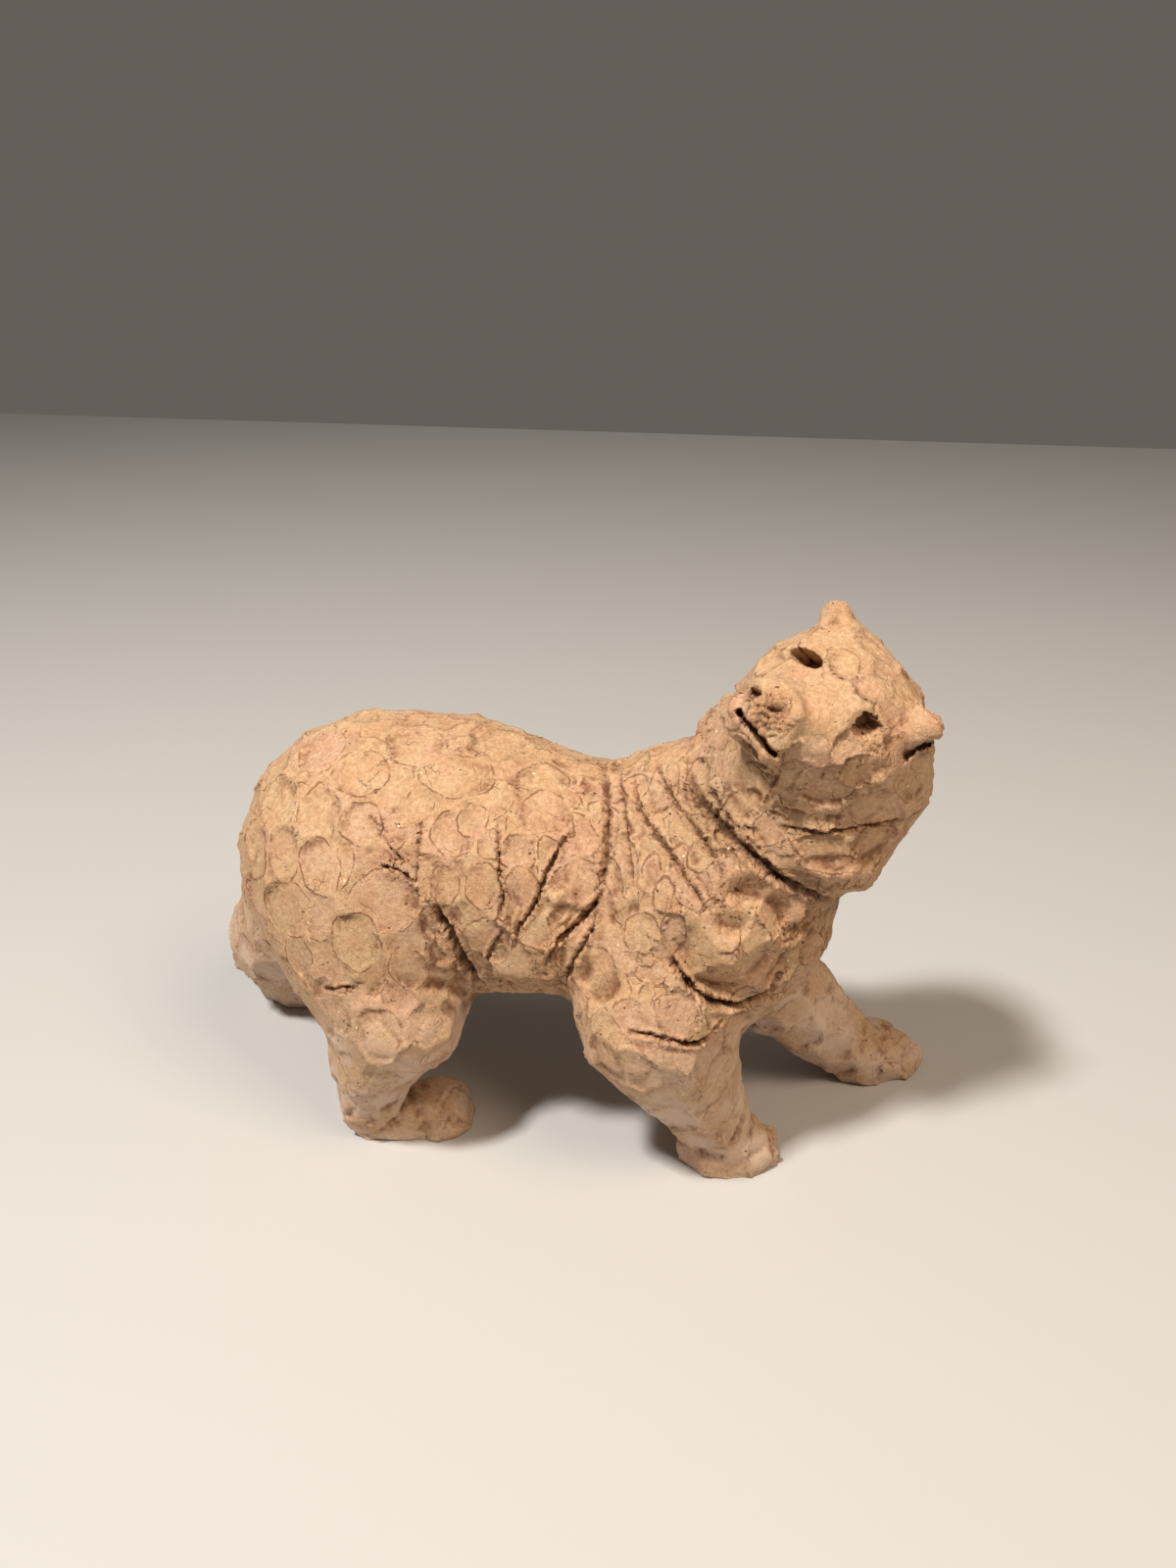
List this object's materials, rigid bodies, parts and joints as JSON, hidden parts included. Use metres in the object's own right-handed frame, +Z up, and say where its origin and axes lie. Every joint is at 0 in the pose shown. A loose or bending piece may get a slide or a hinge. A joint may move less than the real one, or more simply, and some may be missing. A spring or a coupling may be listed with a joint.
{
  "type": "terracotta bear figure",
  "caption": "Small standing figure of a walking bear in fired clay, head turned to its right, for a shelf or table.",
  "frame": {"origin": "under the middle of the figure's box, on the ground that its four soles stand on", "axes": "+X from rump to chest, along the figure's longest extent; +Y to the bear's left; +Z up"},
  "size_m": [0.258, 0.1084, 0.181],
  "materials": {
    "terracotta": "matte, bare fired clay with grog, tool marks and pale bloom"
  },
  "bodies": {
    "root": {"bear": "terracotta"}
  },
  "joints": []
}
